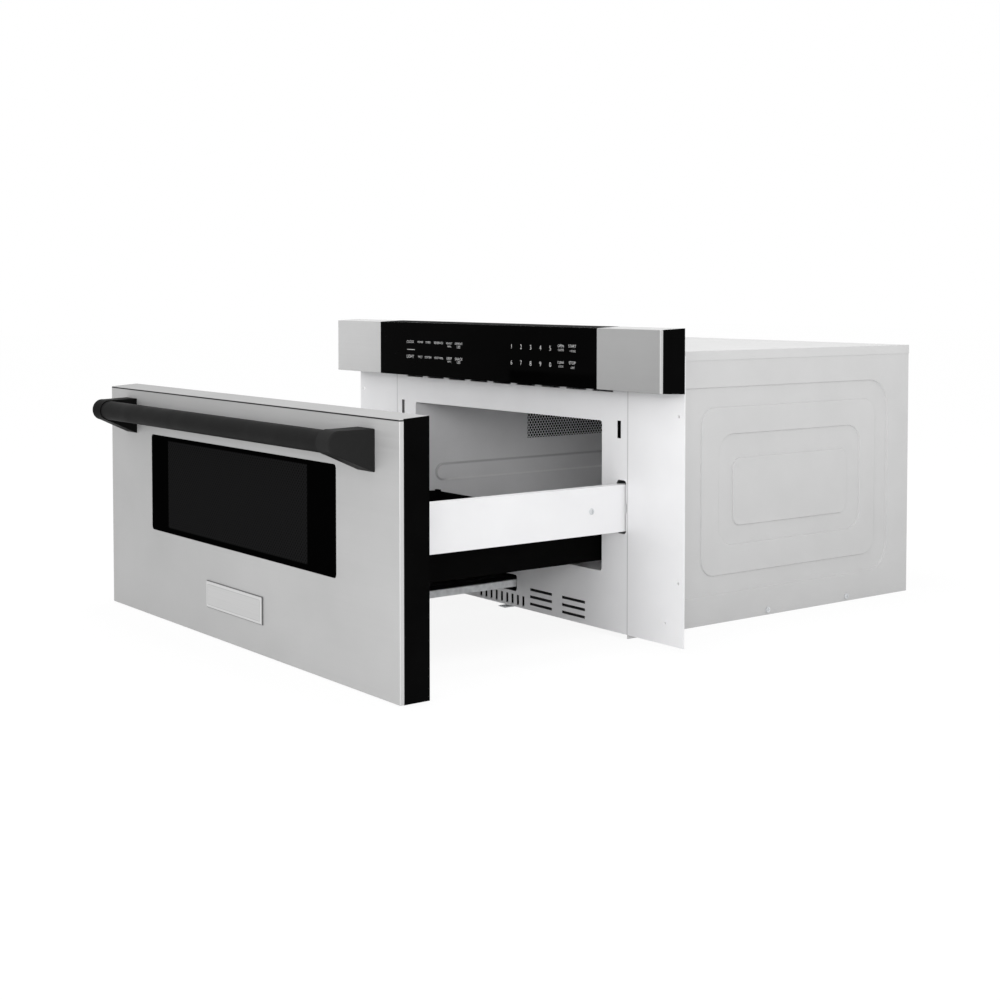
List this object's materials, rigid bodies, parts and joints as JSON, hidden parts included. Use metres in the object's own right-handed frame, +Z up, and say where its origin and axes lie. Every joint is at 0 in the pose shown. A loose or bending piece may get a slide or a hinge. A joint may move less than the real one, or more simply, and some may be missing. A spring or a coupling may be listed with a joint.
{
  "type": "built-in microwave drawer",
  "caption": "Built-in microwave drawer oven, drawn out: stainless front with bar handle and dark window, touch panel above, white cabinet with side flanges, on telescopic slides.",
  "frame": {"origin": "middle of the base pan's front edge, on its underside, where the cabinet's bottom meets the plane of the furniture's front face", "axes": "+X to the right as the user faces it, +Y back into the furniture, +Z up"},
  "size_m": [0.76, 1.0465, 0.4065],
  "materials": {
    "white_paint": "satin white paint",
    "case_paint": "satin light grey paint",
    "cavity_paint": "grey enamel",
    "stainless": "horizontally brushed",
    "door_plastic": "fine black grain",
    "handle_black": "matte black powder coat",
    "black_glass": "gloss, printed black",
    "tray_glass": "dark glass plate",
    "tray_black": "black",
    "zinc_steel": "zinc plated",
    "white_plastic": "moulded",
    "grey_plastic": "moulded",
    "motor_steel": "dark lacquer",
    "circuit_board": "green lacquer",
    "aluminium": "sheet"
  },
  "bodies": {
    "chassis": {"base_pan": "case_paint", "case_screws": "zinc_steel", "cavity_body": "cavity_paint", "control_board": "circuit_board", "control_cap_left": "stainless", "control_cap_right": "stainless", "control_glass": "black_glass", "control_housing": "door_plastic", "cord_gland": "grey_plastic", "drawer_motor": "zinc_steel", "fan_housing": "grey_plastic", "fan_motor": "motor_steel", "flange_left": "white_paint", "flange_right": "white_paint", "front_frame": "white_paint", "hv_capacitor": "zinc_steel", "hv_transformer": "zinc_steel", "interlock_switch_left": "door_plastic", "interlock_switch_right": "door_plastic", "magnetron": "zinc_steel", "motor_bracket": "zinc_steel", "noise_filter": "circuit_board", "oven_lamp": "white_plastic", "rear_panel": "case_paint", "side_panel_left": "case_paint", "side_panel_right": "case_paint", "slide_bracket_left": "zinc_steel", "slide_bracket_right": "zinc_steel", "slide_outer_left": "zinc_steel", "slide_outer_right": "zinc_steel", "stirrer_motor": "white_plastic", "top_cover": "case_paint", "waveguide": "zinc_steel", "waveguide_cover": "white_plastic"},
    "drawer": {"door_skin": "stainless", "door_frame": "door_plastic", "window_glass": "black_glass", "window_screen": "zinc_steel", "door_inner_panel": "cavity_paint", "handle_bar": "handle_black", "handle_bracket_left": "handle_black", "handle_bracket_right": "handle_black", "badge_plate": "stainless", "drawer_rail_left": "white_paint", "drawer_rail_right": "white_paint", "slide_inner_left": "zinc_steel", "slide_inner_right": "zinc_steel", "rail_screws": "zinc_steel", "tray": "tray_black", "tray_plate": "tray_glass", "centre_rail": "zinc_steel", "rail_guide": "door_plastic", "drive_rack": "white_plastic", "latch_hook_left": "door_plastic", "latch_hook_right": "door_plastic"},
    "slide_middle_left_body": {"slide_middle_left": "zinc_steel"},
    "slide_middle_right_body": {"slide_middle_right": "zinc_steel"},
    "drive_pinion_body": {"drive_pinion": "white_plastic"},
    "fan_rotor_body": {"fan_rotor": "white_plastic"},
    "stirrer_body": {"stirrer_antenna": "aluminium"}
  },
  "joints": [
    {"name": "drawer_travel", "type": "slide", "parent": "chassis", "child": "drawer", "axis": [0, 1, 0], "range_m": [0, 0.38]},
    {"name": "slide_left_travel", "type": "slide", "parent": "chassis", "child": "slide_middle_left_body", "axis": [0, 1, 0], "range_m": [0, 0.19]},
    {"name": "slide_right_travel", "type": "slide", "parent": "chassis", "child": "slide_middle_right_body", "axis": [0, 1, 0], "range_m": [0, 0.19]},
    {"name": "pinion_turn", "type": "hinge", "parent": "chassis", "child": "drive_pinion_body", "pos_m": [0, 0.08, 0.01843], "axis": [-1, 0, 0], "range_deg": [0, 1613]},
    {"name": "fan_turn", "type": "hinge", "parent": "chassis", "child": "fan_rotor_body", "pos_m": [-0.15, 0.54, 0.19], "axis": [0, 1, 0], "continuous": true},
    {"name": "stirrer_turn", "type": "hinge", "parent": "chassis", "child": "stirrer_body", "pos_m": [0, 0.215, 0.291], "axis": [0, 0, 1], "continuous": true}
  ],
  "couplings": [
    {"joint": "slide_left_travel", "follows": "drawer_travel", "ratio": 0.5},
    {"joint": "slide_right_travel", "follows": "drawer_travel", "ratio": 0.5},
    {"joint": "pinion_turn", "follows": "drawer_travel", "rad_per_m": 74.074}
  ]
}
